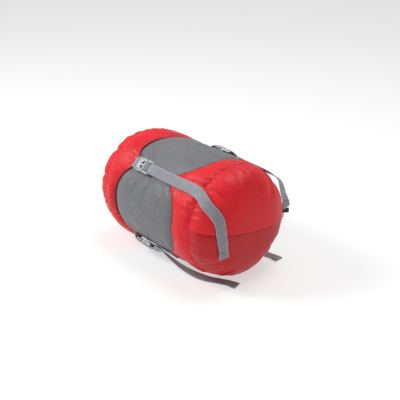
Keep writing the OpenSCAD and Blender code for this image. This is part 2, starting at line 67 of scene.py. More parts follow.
STRAPS = ("front_top", "back_top", "front_bottom", "back_bottom")
STRAP_ANGLE = {"front_top": 45.0, "back_top": 135.0, "front_bottom": -45.0, "back_bottom": -135.0}
LID_R = high("lid_skirt").y
BODY_R = high("body_tube").y
AXIS_Z = high("lid_skirt").z - LID_R
LID_X = low("lid_skirt").x
BASE_X = low("base_end_upper").x
BASE_DEPTH = high("base_end_upper").x - BASE_X
SHOULDER_R = high("base_end_upper").z - AXIS_Z
LID_DEPTH = LID_X - low("lid_crown").x
COLLAR_X = (low("drawcord").x + high("drawcord").x) / 2
MOUTH_R = 15 * MM
SLEEVE_R = 3.6 * MM
WEB_W = 20 * MM
WEB_T = 1.5 * MM
TAB_SEWN = 12 * MM
TAB_REACH = 15 * MM
HEM_TIP = {s: low("tab_" + s).x + TAB_SEWN for s in STRAPS}
BAND_TIP = {s: high("anchor_" + s).x - TAB_SEWN / 2 for s in STRAPS}
LADDER_X = {s: low("anchor_" + s).x for s in STRAPS}
HEM_SCALLOP = 29 * MM
BAND_SCALLOP = 30 * MM
ROUND_R = 2.6
ROUND_X = 3.0
CROSS_SEAM_ROLL = 7.5
# Heights above the sack's axis of the layers at a strap
ANCHOR_H = BODY_R + 0.4 * MM
BUCKLE_BASE = LID_R + 2.2 * MM


def point(x, angle, radius):
    a = math.radians(angle)
    return Vector((x, -radius * math.cos(a), AXIS_Z + radius * math.sin(a)))


def side_of(angle):
    a = math.radians(angle)
    return Vector((0, math.sin(a), math.cos(a)))


# --- Camera, light and floor ---

VIEW_AZIMUTH = math.radians(48.87)
VIEW_ELEVATION = math.radians(25.1)
VIEW_DISTANCE = 1.420


def make_camera():
    target = Vector((61 * MM, 0, AXIS_Z))
    back = Vector((math.sin(VIEW_AZIMUTH) * math.cos(VIEW_ELEVATION),
                   -math.cos(VIEW_AZIMUTH) * math.cos(VIEW_ELEVATION), math.sin(VIEW_ELEVATION)))
    camera = bpy.data.objects.new("camera", bpy.data.cameras.new("camera"))
    camera.location = target + back * VIEW_DISTANCE
    camera.rotation_euler = back.to_track_quat("Z", "Y").to_euler()
    camera.data.sensor_width = 36
    camera.data.lens = 67.7
    camera.data.shift_x = -0.020
    camera.data.shift_y = 0.0206
    SCENE.collection.objects.link(camera)
    SCENE.camera = camera


def area_light(name, place, target, size, power):
    light = bpy.data.lights.new(name, "AREA")
    light.energy = power
    light.size = size
    lamp = bpy.data.objects.new(name, light)
    lamp.location = place
    lamp.rotation_euler = (Vector(place) - Vector(target)).to_track_quat("Z", "Y").to_euler()
    SCENE.collection.objects.link(lamp)


def make_studio():
    middle = (0, 0, 0.1)
    area_light("key", (-1.0, -1.1, 1.4), middle, 0.6, 26)
    area_light("top", (0.1, 0.5, 1.8), middle, 0.9, 15)
    area_light("fill", (1.7, -0.9, 0.6), middle, 1.2, 2)
    world = bpy.data.worlds.new("studio")
    world.use_nodes = True
    world.node_tree.nodes["Background"].inputs["Color"].default_value = (1, 1, 1, 1)
    world.node_tree.nodes["Background"].inputs["Strength"].default_value = 0.45
    SCENE.world = world
    SCENE.view_settings.view_transform = "Standard"
    mesh = bpy.data.meshes.new("floor")
    reach = 14
    mesh.from_pydata([(-reach, -reach, -0.0004), (reach, -reach, -0.0004), (reach, reach, -0.0004),
                      (-reach, reach, -0.0004)], [], [(0, 1, 2, 3)])
    floor = bpy.data.objects.new("floor", mesh)
    SCENE.collection.objects.link(floor)
    material = bpy.data.materials.new("floor")
    material.use_nodes = True
    shader = material.node_tree.nodes["Principled BSDF"]
    shader.inputs["Base Color"].default_value = (0.45, 0.45, 0.45, 1)
    shader.inputs["Emission Color"].default_value = (1, 1, 1, 1)
    shader.inputs["Emission Strength"].default_value = 0.52
    shader.inputs["Roughness"].default_value = 0.8
    mesh.materials.append(material)


# --- Materials ---


class Shade:
    """A procedural material, built from nodes one call at a time."""

    def __init__(self, name, roughness=0.6, **constants):
        self.material = bpy.data.materials.new(name)
        self.material.use_nodes = True
        self.tree = self.material.node_tree
        self.shader = self.tree.nodes["Principled BSDF"]
        self.shader.inputs["Roughness"].default_value = roughness
        for socket, value in constants.items():
            self.shader.inputs[socket.replace("_", " ")].default_value = value

    def node(self, kind, links=(), **values):
        node = self.tree.nodes.new(kind)
        for key, value in values.items():
            if hasattr(node, key):
                setattr(node, key, value)
            else:
                node.inputs[key.replace("_", " ")].default_value = value
        for name, source in dict(links).items():
            self.link(source, node.inputs[name])
        return node

    def link(self, source, target):
        self.tree.links.new(source, target)

    def math(self, operation, a, b=0.0):
        node = self.tree.nodes.new("ShaderNodeMath")
        node.operation = operation
        for slot, value in zip(node.inputs, (a, b)):
            if isinstance(value, (int, float)):
                slot.default_value = value
            else:
                self.link(value, slot)
        return node.outputs[0]

    def place(self):
        return self.node("ShaderNodeTexCoord").outputs["Object"]

    def attribute(self, name):
        return self.node("ShaderNodeAttribute", attribute_name=name)

    def noise(self, scale, detail=3.0, vector=None, rough=0.5):
        links = {"Vector": self.place() if vector is None else vector}
        return self.node("ShaderNodeTexNoise", links, Scale=scale, Detail=detail,
                         Roughness=rough).outputs["Fac"]

    def mix(self, factor, a, b):
        node = self.tree.nodes.new("ShaderNodeMix")
        node.data_type = "RGBA"
        self.link(factor, node.inputs["Factor"])
        for name, value in (("A", a), ("B", b)):
            slot = [i for i in node.inputs if i.name == name and i.type == "RGBA"][0]
            if isinstance(value, tuple):
                slot.default_value = (*value, 1)
            else:
                self.link(value, slot)
        return [o for o in node.outputs if o.type == "RGBA"][0]

    def ramp(self, value, low_end, high_end):
        return self.node("ShaderNodeMapRange", {"Value": value}, clamp=True, **{
            "From_Min": low_end, "From_Max": high_end}).outputs["Result"]

    def roughness(self, value, low_end, high_end, least, most):
        spread = self.node("ShaderNodeMapRange", {"Value": value}, **{
            "From_Min": low_end, "From_Max": high_end, "To_Min": least, "To_Max": most})
        self.link(spread.outputs["Result"], self.shader.inputs["Roughness"])

    def colour(self, source):
        self.link(source, self.shader.inputs["Base Color"])

    def bump(self, height, strength, distance):
        previous = self.shader.inputs["Normal"].links
        node = self.node("ShaderNodeBump", {"Height": height}, Strength=strength, Distance=distance)
        if previous:
            self.link(previous[0].from_socket, node.inputs["Normal"])
        self.link(node.outputs["Normal"], self.shader.inputs["Normal"])


def fabric_shade(name, colour, dark, light, weave=1500.0):
    """Thin coated nylon: fine crossed threads, slow colour drift, faint crumple."""
    s = Shade(name, 0.5, Sheen_Weight=0.06, Sheen_Roughness=0.4, Specular_IOR_Level=0.3)
    grid = s.attribute("cloth").outputs["Vector"]
    split = s.node("ShaderNodeSeparateXYZ", {"Vector": grid})
    warp = s.math("SINE", s.math("MULTIPLY", split.outputs["X"], weave * 2))
    weft = s.math("SINE", s.math("MULTIPLY", split.outputs["Y"], weave * 2))
    threads = s.math("MULTIPLY", warp, weft)
    drift = s.noise(22, 3)
    flecks = s.noise(260, 2)
    tone = s.mix(s.ramp(drift, 0.35, 0.68), dark, colour)
    tone = s.mix(s.math("MULTIPLY", s.ramp(flecks, 0.45, 0.75), 0.35), tone, light)
    tone = s.mix(s.math("MULTIPLY", s.ramp(threads, -1, 1), 0.12), tone, light)
    s.colour(tone)
    s.roughness(drift, 0.3, 0.7, 0.42, 0.58)
    crumple = s.noise(75, 4, rough=0.55)
    s.bump(crumple, 0.35, 0.004)
    s.bump(threads, 0.12, 0.0004)
    return s.material


def webbing_shade(name, colour, dark, light):
    """Flat woven webbing: ribs across, a chevron of warp threads, paler selvedges. The strip
    attribute holds the distance along and across the webbing, in metres."""
    s = Shade(name, 0.72, Sheen_Weight=0.3, Sheen_Roughness=0.5)
    split = s.node("ShaderNodeSeparateXYZ", {"Vector": s.attribute("strip").outputs["Vector"]})
    along, across = split.outputs["X"], split.outputs["Y"]
    chevron = s.math("PINGPONG", across, 0.0016)
    ribs = s.math("SINE", s.math("MULTIPLY", s.math("ADD", along, chevron), 2 * math.pi / 0.0013))
    cords = s.math("SINE", s.math("MULTIPLY", across, 2 * math.pi / 0.0011))
    weave = s.math("MULTIPLY", s.math("ADD", ribs, 1.0), s.math("ADD", cords, 1.4))
    wear = s.noise(45, 4)
    edge = s.ramp(s.math("ABSOLUTE", across), 0.0084, 0.0094)
    tone = s.mix(s.ramp(weave, 0.0, 3.2), dark, colour)
    tone = s.mix(s.math("MULTIPLY", s.ramp(wear, 0.45, 0.75), 0.3), tone, light)
    tone = s.mix(s.math("MULTIPLY", edge, 0.55), tone, light)
    s.colour(tone)
    s.bump(weave, 0.35, 0.0003)
    return s.material


def plastic_shade(name, colour, dark, roughness=0.42):
    """Moulded acetal: satin grain, slight flow marks, paler scuffs."""
    s = Shade(name, roughness, Specular_IOR_Level=0.45, Coat_Weight=0.05, Coat_Roughness=0.3)
    flow = s.noise(38, 3)
    scuff = s.noise(420, 4, rough=0.7)
    tone = s.mix(s.ramp(flow, 0.35, 0.7), dark, colour)
    scuffed = tuple(min(1.0, c * 1.35) for c in colour)
    tone = s.mix(s.math("MULTIPLY", s.ramp(scuff, 0.56, 0.7), 0.18), tone, scuffed)
    s.colour(tone)
    s.roughness(scuff, 0.4, 0.7, roughness - 0.06, roughness + 0.12)
    s.bump(s.noise(1600, 2), 0.12, 0.0002)
    return s.material


def thread_shade(name, colour, dark):
    s = Shade(name, 0.65, Sheen_Weight=0.3)
    s.colour(s.mix(s.ramp(s.noise(900, 2), 0.35, 0.65), dark, colour))
    s.bump(s.noise(2200, 2), 0.3, 0.0002)
    return s.material


def steel_shade(name):
    s = Shade(name, 0.3, Metallic=1.0)
    s.colour(s.mix(s.ramp(s.noise(500, 3), 0.4, 0.7), (0.42, 0.42, 0.43), (0.66, 0.66, 0.67)))
    return s.material


MATERIALS = {
    "red": fabric_shade("red_nylon",
        (0.66, 0.006, 0.014), (0.56, 0.004, 0.010), (0.74, 0.018, 0.028)),
    # The same red nylon made darker: painted shade for the lower half of the base's end
    "shaded_red": fabric_shade("shaded_red_nylon",
        (0.48, 0.006, 0.012), (0.40, 0.004, 0.009), (0.56, 0.018, 0.026)),
    "grey": fabric_shade("grey_nylon",
        (0.150, 0.152, 0.165), (0.128, 0.130, 0.142), (0.205, 0.208, 0.222)),
    "webbing": webbing_shade("grey_webbing",
        (0.290, 0.300, 0.340), (0.165, 0.170, 0.195), (0.430, 0.445, 0.490)),
    "black_web": webbing_shade("black_webbing",
        (0.030, 0.024, 0.024), (0.010, 0.008, 0.008), (0.060, 0.052, 0.052)),
    "label": fabric_shade("satin_label",
        (0.80, 0.80, 0.79), (0.72, 0.72, 0.72), (0.88, 0.88, 0.88)),
    "buckle": plastic_shade("buckle_plastic", (0.370, 0.395, 0.400), (0.300, 0.322, 0.325)),
    "black": plastic_shade("black_plastic", (0.022, 0.022, 0.024), (0.015, 0.015, 0.016)),
    "red_thread": thread_shade("red_thread", (0.55, 0.020, 0.028), (0.36, 0.010, 0.016)),
    "grey_thread": thread_shade("grey_thread", (0.30, 0.31, 0.34), (0.17, 0.175, 0.19)),
    "cord": thread_shade("braided_cord", (0.085, 0.085, 0.090), (0.030, 0.030, 0.032)),
    "stuffing": fabric_shade("stuffing_shell",
        (0.55, 0.56, 0.55), (0.45, 0.46, 0.46), (0.65, 0.66, 0.65)),
    "steel": steel_shade("spring_steel"),
}

# --- Mesh helpers ---


def new_object(name, verts, faces, material, smooth=True):
    mesh = bpy.data.meshes.new(name)
    mesh.from_pydata([tuple(v) for v in verts], [], [tuple(int(i) for i in f) for f in faces])
    mesh.validate()
    mesh.materials.append(MATERIALS[material])
    if smooth:
        mesh.polygons.foreach_set("use_smooth", [True] * len(mesh.polygons))
    obj = bpy.data.objects.new(name, mesh)
    SCENE.collection.objects.link(obj)
    return obj


def set_vector(mesh, name, values):
    attribute = mesh.attributes.get(name) or mesh.attributes.new(name, "FLOAT_VECTOR", "POINT")
    attribute.data.foreach_set("vector", np.asarray(values, np.float32).ravel())


def get_points(mesh):
    co = np.zeros(len(mesh.vertices) * 3)
    mesh.vertices.foreach_get("co", co)
    return co.reshape(-1, 3)


def set_points(mesh, co):
    mesh.vertices.foreach_set("co", np.asarray(co, np.float32).ravel())
    mesh.update()


def get_normals(mesh):
    normals = np.zeros(len(mesh.vertices) * 3)
    mesh.vertices.foreach_get("normal", normals)
    return normals.reshape(-1, 3)


def apply_modifiers(obj):
    bpy.context.view_layer.update()
    graph = bpy.context.evaluated_depsgraph_get()
    mesh = bpy.data.meshes.new_from_object(
        obj.evaluated_get(graph), preserve_all_data_layers=True, depsgraph=graph)
    obj.modifiers.clear()
    old = obj.data
    obj.data = mesh
    bpy.data.meshes.remove(old)


def smooth_step(t):
    t = np.clip(t, 0, 1)
    return t * t * (3 - 2 * t)


# --- The stuffed skin: one closed surface, swelled by a cloth simulation ---

COLUMNS = 192
CAP = COLUMNS // 4
TUBE_ROWS = 76
HEM_ROW, BAND_ROW = 23, 55
ROW_STOPS = [0.0, HEM_ROW / TUBE_ROWS, BAND_ROW / TUBE_ROWS, 1.0]
START_IN = 0.5 * MM
LID_CAP_DEPTH = LID_DEPTH - 7 * MM
FLOOR_LIFT = 1.2 * MM
FLOOR_SOFT = 4 * MM
# The skin's regions, by face
LID_END, LID_SIDE, TUBE, BAND, UPPER_END, LOWER_END = range(6)


def column_angle(j):
    return CROSS_SEAM_ROLL - 45 + 360.0 * j / COLUMNS


def between_straps(angle):
    """Quarter of the sack that holds an angle, and where in it, from -1 to 1."""
    turn = (angle + 45) % 360
    quarter = int(turn // 90)
    around = [("front_bottom", "front_top"), ("front_top", "back_top"),
              ("back_top", "back_bottom"), ("back_bottom", "front_bottom")][quarter]
    return around, (turn % 90) / 45 - 1


def seam_x(angle, tips, depth):
    (a, b), t = between_straps(angle)
    flat = math.degrees(math.asin((WEB_W / 2 + MM) / BODY_R)) / 45
    w = min(1.0, abs(t) / (1 - flat))
    return tips[a] + (tips[b] - tips[a]) * (t + 1) / 2 + depth * (1 - w ** 3.1)


def hem_x(angle):
    return seam_x(angle, HEM_TIP, -HEM_SCALLOP)


def band_x(angle):
    return seam_x(angle, BAND_TIP, BAND_SCALLOP)


def dome_curve(radius, depth, share):
    """Point on a soft end's profile at a share of its arc, from 0 at the tip to 1 at the seam."""
    t = np.radians(np.linspace(0, 90, 400))
    r = radius * np.cos(t) ** (2 / ROUND_R)
    x = depth * np.sin(t) ** (2 / ROUND_X)
    arc = np.concatenate([[0], np.cumsum(np.hypot(np.diff(r), np.diff(x)))])
    return np.interp((1 - share) * arc[-1], arc, r), np.interp((1 - share) * arc[-1], arc, x)


def cap_grid():
    """Disc points of a square grid wrapped to a circle: share of the radius and angle."""
    cells = {}
    for i in range(CAP + 1):
        for k in range(CAP + 1):
            a = 2 * i / CAP - 1
            b = 2 * k / CAP - 1
            if a == 0 and b == 0:
                share, turn = 0.0, 0.0
            elif abs(a) >= abs(b):
                share = abs(a)
                turn = 45 * b / a + (0 if a > 0 else 180)
            else:
                share = abs(b)
                turn = 90 - 45 * a / b + (0 if b > 0 else 180)
            cells[i, k] = (share, turn)
    return cells


def ring_faces(rows, around, index):
    """Quads between the rows of a grid that closes on itself."""
    return [(index(i, j), index(i + 1, j), index(i + 1, k), index(i, k))
            for i in range(rows) for j, k in zip(range(around), [*range(1, around), 0])]


def skin_mesh():
    """The whole outer skin as one closed grid, with its places in cloth coordinates."""
    rows = np.linspace(0, 1, TUBE_ROWS + 1)
    verts, cloth, region = [], [], []
    index = {}
    for i, share in enumerate(rows):
        for j in range(COLUMNS):
            angle = column_angle(j)
            stops = [LID_X, hem_x(angle), band_x(angle), BASE_X]
            x = np.interp(share, ROW_STOPS, stops)
            index[i, j] = len(verts)
            verts.append(point(x, angle, BODY_R - START_IN))
            cloth.append((x, math.radians(angle) * BODY_R, 0))
    faces = ring_faces(TUBE_ROWS, COLUMNS, lambda i, j: index[i, j])
    region += [LID_SIDE if i < HEM_ROW else TUBE if i < BAND_ROW else BAND
               for i in range(TUBE_ROWS) for j in range(COLUMNS)]
    for row, at_x, depth, out in (
            (0, LID_X, LID_CAP_DEPTH, -1), (TUBE_ROWS, BASE_X, BASE_DEPTH, 1)):
        cells = {}
        for (i, k), (share, turn) in cap_grid().items():
            angle = turn + CROSS_SEAM_ROLL
            if i in (0, CAP) or k in (0, CAP):
                j = round((angle - column_angle(0)) * COLUMNS / 360) % COLUMNS
                cells[i, k] = index[row, j]
            else:
                r, x = dome_curve(BODY_R - START_IN, depth - START_IN, share)
                cells[i, k] = len(verts)
                verts.append(point(at_x + out * x, angle, r))
                turned, reach = math.radians(turn), share * BODY_R
                cloth.append((reach * math.cos(turned), reach * math.sin(turned), 0))
        for i in range(CAP):
            for k in range(CAP):
                quad = (cells[i, k], cells[i + 1, k], cells[i + 1, k + 1], cells[i, k + 1])
                faces.append(quad if out < 0 else quad[::-1])
                region.append(LID_END if out < 0 else UPPER_END if k >= CAP / 2 else LOWER_END)
    return np.array(verts), faces, np.array(cloth), np.array(region)


def angle_of(co):
    return np.degrees(np.arctan2(co[:, 2] - AXIS_Z, -co[:, 1]))


def swell(obj, pins, tight, frames=22):
    """Inflates a closed cloth; pins hold, and the tight group is sewn shorter than it was cut."""
    for name, weights in (("pins", pins), ("tight", tight)):
        group = obj.vertex_groups.new(name=name)
        for level in range(1, 11):
            chosen = np.nonzero(np.round(weights * 10) == level)[0]
            if len(chosen):
                group.add([int(i) for i in chosen], level / 10, "REPLACE")
    cloth = obj.modifiers.new("cloth", "CLOTH")
    settings = cloth.settings
    settings.quality = 7
    settings.mass = 0.003
    settings.tension_stiffness = 60
    settings.compression_stiffness = 20
    settings.shear_stiffness = 15
    settings.bending_stiffness = 0.05
    settings.use_pressure = True
    settings.uniform_pressure_force = 42
    settings.effector_weights.gravity = 0
    settings.vertex_group_mass = "pins"
    settings.pin_stiffness = 1.0
    settings.vertex_group_shrink = "tight"
    settings.shrink_min = -0.035
    settings.shrink_max = 0.06
    cloth.collision_settings.use_self_collision = False
    cloth.point_cache.frame_start = 1
    cloth.point_cache.frame_end = frames
    for f in range(1, frames + 1):
        SCENE.frame_set(f)
    apply_modifiers(obj)
    SCENE.frame_set(1)


def waves(position, length, seed, amount=5):
    """Sum of sines of about one wavelength with seeded phases: an uneven ripple from -1 to 1."""
    rng = np.random.default_rng(seed)
    total = np.zeros_like(position)
    for _ in range(amount):
        own = length * rng.uniform(0.72, 1.45)
        total += np.sin(2 * np.pi * position / own + rng.uniform(0, 2 * np.pi))
    return total / math.sqrt(amount) / 1.3


def strap_offset(angle, s):
    """Signed turn from a strap's middle, in degrees, and the distance from it round the sack."""
    turn = (angle - STRAP_ANGLE[s] + 180) % 360 - 180
    return turn, np.abs(turn) * math.pi / 180 * BODY_R


def make_skin():
    """The swelled skin: pinned under the straps, sewn tight at its seams, and blown up."""
    verts, faces, cloth, region = skin_mesh()
    obj = new_object("skin", verts, faces, "grey")
    co = get_points(obj.data)
    angle = angle_of(co)
    around = np.radians(angle) * BODY_R
    rng = np.random.default_rng(7)
    set_vector(obj.data, "cloth", cloth)
    attribute = obj.data.attributes.new("region", "INT", "FACE")
    attribute.data.foreach_set("value", region.astype(np.int32))
    # Pins under the straps, a little below the surface so that the cloth bulges beside them
    pins = np.zeros(len(co))
    for s in STRAPS:
        _, off = strap_offset(angle, s)
        held = (off < WEB_W / 2 + MM) & (co[:, 0] > HEM_TIP[s] - 10 * MM)
        held &= co[:, 0] < BASE_X - 14 * MM
        pins[held] = 1
    # Rings that are sewn tight
    tight = np.zeros(len(co))
    for seam, reach in ((BASE_X, 5 * MM), (LID_X, 5 * MM)):
        tight = np.maximum(tight, np.clip(1 - np.abs(co[:, 0] - seam) / reach, 0, 1))
    hems = np.array([hem_x(a) for a in angle])
    bands = np.array([band_x(a) for a in angle])
    tight = np.maximum(tight, 0.5 * np.clip(1 - np.abs(co[:, 0] - hems) / (5 * MM), 0, 1))
    tight = np.maximum(tight, 0.4 * np.clip(1 - np.abs(co[:, 0] - bands) / (4 * MM), 0, 1))
    # A rough start, so that the folds fall unevenly
    radial = np.stack([np.zeros(len(co)), co[:, 1], co[:, 2] - AXIS_Z], 1)
    radial /= np.maximum(1e-6, np.linalg.norm(radial, axis=1))[:, None]
    ripple = waves(around, 17 * MM, 3) * np.exp(-np.abs(co[:, 0] - BASE_X) / (22 * MM))
    ripple += waves(around, 20 * MM, 4) * np.exp(-np.abs(co[:, 0] - LID_X) / (22 * MM))
    rough = ripple * 1.3 * MM + rng.normal(0, 0.15 * MM, len(co))
    co += radial * rough[:, None] * (1 - pins)[:, None]
    set_points(obj.data, co)
    start = co.copy()
    swell(obj, pins, tight)
    moved = get_points(obj.data) - start
    size = np.linalg.norm(moved, axis=1)
    furthest = 10 * MM
    moved *= (furthest * np.tanh(size / furthest) / np.maximum(size, 1e-9))[:, None]
    set_points(obj.data, start + moved)
    return obj


# --- Panels cut from the swelled skin ---


def tension_folds(co, angle):
    """Height of the small folds that run away from the straps' edges and the sewn seams."""
    height = np.zeros(len(co))
    for n, s in enumerate(STRAPS):
        turn, off = strap_offset(angle, s)
        off = off - WEB_W / 2
        slant = np.sign(turn) * off * 0.45
        wave = waves(co[:, 0] + slant, 11 * MM, 20 + n)
        wave += 0.5 * waves(co[:, 0] - slant, 6 * MM, 30 + n)
        near = np.exp(-np.maximum(off, 0) / (16 * MM)) * (off > 0)
        along = smooth_step((co[:, 0] - HEM_TIP[s]) / (10 * MM))
        along = along * smooth_step((BASE_X - co[:, 0]) / (20 * MM))
        height += wave * near * (0.25 + 0.75 * along) * 1.25 * MM
    around = np.radians(angle) * BODY_R
    height += waves(around, 10 * MM, 41) * np.exp(-np.abs(co[:, 0] - BASE_X) / (14 * MM)) * 1.7 * MM
    height += waves(around, 12 * MM, 42) * np.exp(-np.abs(co[:, 0] - LID_X) / (13 * MM)) * 1.2 * MM
    # Broad, slack swells over the whole skin, and a sharp pinch where the lid's seam meets a strap
    slack = waves(co[:, 0] + 0.6 * around, 55 * MM, 51)
    height += slack * waves(around - 0.4 * co[:, 0], 70 * MM, 52) * 0.9 * MM
    beside = np.exp(-((angle - 52) / 3.2) ** 2)
    height -= 5.0 * MM * beside * np.exp(-((co[:, 0] - LID_X - 4 * MM) / (12 * MM)) ** 2)
    # One long crease that crosses the top panel of the tube slantwise
    middle = (LID_X + BASE_X) / 2 - 12 * MM
    line = (co[:, 0] - middle) - 0.95 * (np.radians(angle - 92) * BODY_R)
    span = np.exp(-((angle - 88) / 19.0) ** 4)
    height -= 2.6 * MM * np.exp(-(line / (4 * MM)) ** 2) * span
    height += 1.8 * MM * np.exp(-((line - 9 * MM) / (6 * MM)) ** 2) * span
    return height


class Skin:
    """The final skin: points, outward directions and the cloth coordinates of every grid point."""

    def __init__(self, obj):
        self.co = get_points(obj.data)
        self.normal = get_normals(obj.data)
        self.angle = angle_of(self.co)
        self.faces = [tuple(p.vertices) for p in obj.data.polygons]
        self.region = np.zeros(len(self.faces), np.int32)
        obj.data.attributes["region"].data.foreach_get("value", self.region)
        cloth = np.zeros(len(self.co) * 3)
        obj.data.attributes["cloth"].data.foreach_get("vector", cloth)
        self.cloth = cloth.reshape(-1, 3)
        grow = tension_folds(self.co, self.angle)
        self.co = self.co + self.normal * grow[:, None]
        self.hem = np.array([hem_x(a) for a in self.angle])
        # The sack rests on its floor side, which flattens softly
        z = self.co[:, 2] - FLOOR_LIFT
        pressed = FLOOR_SOFT * np.exp((np.minimum(z, FLOOR_SOFT) - FLOOR_SOFT) / FLOOR_SOFT)
        self.co[:, 2] = FLOOR_LIFT + np.where(z > FLOOR_SOFT, z, pressed)

    def tree(self, offset=0.0):
        """A search tree of the skin's faces, moved outwards by offset."""
        return BVHTree.FromPolygons([tuple(v) for v in self.co + self.normal * offset], self.faces)

    def row_radius(self, row):
        """Smallest distance from the sack's axis along one row of the grid."""
        ring = self.co[row * COLUMNS:(row + 1) * COLUMNS, 1:] - np.array([0, AXIS_Z])
        return float(np.linalg.norm(ring, axis=1).min())


def panel(skin_data, name, keep, offset, material, thick, body, node):
    """A fabric panel: the kept faces of the skin moved by offset along its outward directions."""
    faces = [f for f, r in zip(skin_data.faces, skin_data.region) if r in keep]
    used = sorted({v for f in faces for v in f})
    where = {v: i for i, v in enumerate(used)}
    moved = skin_data.co + skin_data.normal * np.broadcast_to(offset, len(skin_data.co))[:, None]
    moved[:, 2] = np.maximum(moved[:, 2], 0.3 * MM)
    obj = new_object(name, moved[used], [[where[v] for v in f] for f in faces], material)
    set_vector(obj.data, "cloth", skin_data.cloth[used])
    sub = obj.modifiers.new("fine", "SUBSURF")
    sub.levels = sub.render_levels = 1
    sub.boundary_smooth = "ALL"
    solid = obj.modifiers.new("thick", "SOLIDIFY")
    solid.thickness = thick
    solid.offset = -1
    apply_modifiers(obj)
    finish_piece(obj, body, [node])


def finish_piece(obj, body, nodes):
    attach(obj, body)
    if nodes:
        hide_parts(*nodes)


def gathered_end(skin_data):
    """The tube's mouth end: pleats running in from the rim to the collar, under the lid."""
    rings, n = 26, 144
    rng = np.random.default_rng(11)
    phases = rng.uniform(0, 2 * np.pi, 3)
    verts, cloth = [], []
    rim = skin_data.row_radius(0) - 2.2 * MM
    for i in range(rings + 1):
        share = i / rings
        r = MOUTH_R + (rim - MOUTH_R) * share
        depth = 15 * MM * (1 - (r / rim) ** ROUND_R) ** (1 / ROUND_X) if share < 1 else 0
        for j in range(n):
            a = 2 * np.pi * j / n
            pleat = np.sin(24 * a + phases[0]) + 0.6 * np.sin(37 * a + phases[1])
            pleat = pleat * (1 - share) * 1.1 * MM
            verts.append((LID_X - depth - pleat * math.sin(math.pi * min(1, share * 1.4 + 0.12)),
                          -r * math.cos(a), AXIS_Z + r * math.sin(a)))
            cloth.append((r, a * 30 * MM, 0))
    faces = ring_faces(rings, n, lambda i, j: i * n + j)
    obj = new_object("gathered_mouth", np.array(verts), faces, "grey")
    co = get_points(obj.data)
    co[:, 2] = np.maximum(co[:, 2], 2.5 * MM)
    set_points(obj.data, co)
    set_vector(obj.data, "cloth", cloth)
    finish_piece(obj, "sack", [])


def make_collar():
    """Gathered sleeve round the drawcord."""
    n, m = 220, 20
    verts, cloth = [], []
    for j in range(n):
        a = 2 * np.pi * j / n
        pleat = 0.55 * MM * math.sin(31 * a) + 0.35 * MM * math.sin(47 * a + 1)
        for k in range(m):
            b = 2 * np.pi * k / m
            r = MOUTH_R + (SLEEVE_R + pleat) * math.cos(b)
            verts.append((COLLAR_X + (SLEEVE_R + pleat) * math.sin(b),
                          -r * math.cos(a), AXIS_Z + r * math.sin(a)))
            cloth.append((b * 4 * MM, a * MOUTH_R, 0))
    faces = ring_faces(n, m, lambda j, k: (j % n) * m + k)
    obj = new_object("gathered_collar", np.array(verts), faces, "grey")
    set_vector(obj.data, "cloth", cloth)
    finish_piece(obj, "sack", ["mouth_collar"])


# --- Webbing ---

ACROSS = 11


def spline(points, steps):
    p = np.array(points, float)
    out = []
    for i in range(len(p) - 1):
        a, b, c, d = p[max(0, i - 1)], p[i], p[i + 1], p[min(len(p) - 1, i + 2)]
        for k in range(steps):
            t = k / steps
            out.append(0.5 * (2 * b + (c - a) * t + (2 * a - 5 * b + 4 * c - d) * t * t
                              + (3 * b - a - 3 * c + d) * t ** 3))
    out.append(p[-1])
    return np.array(out)


def even(path, sides, pitch):
    """Resamples a path and its side directions at even distances."""
    step = np.linalg.norm(np.diff(path, axis=0), axis=1)
    arc = np.concatenate([[0], np.cumsum(step)])
    at = np.linspace(0, arc[-1], max(3, int(arc[-1] / pitch) + 1))
    fresh = np.stack([np.interp(at, arc, path[:, i]) for i in range(3)], 1)
    side = np.stack([np.interp(at, arc, sides[:, i]) for i in range(3)], 1)
    return fresh, side, at


def unit_rows(v):
    return v / np.maximum(np.linalg.norm(v, axis=-1, keepdims=True), 1e-12)


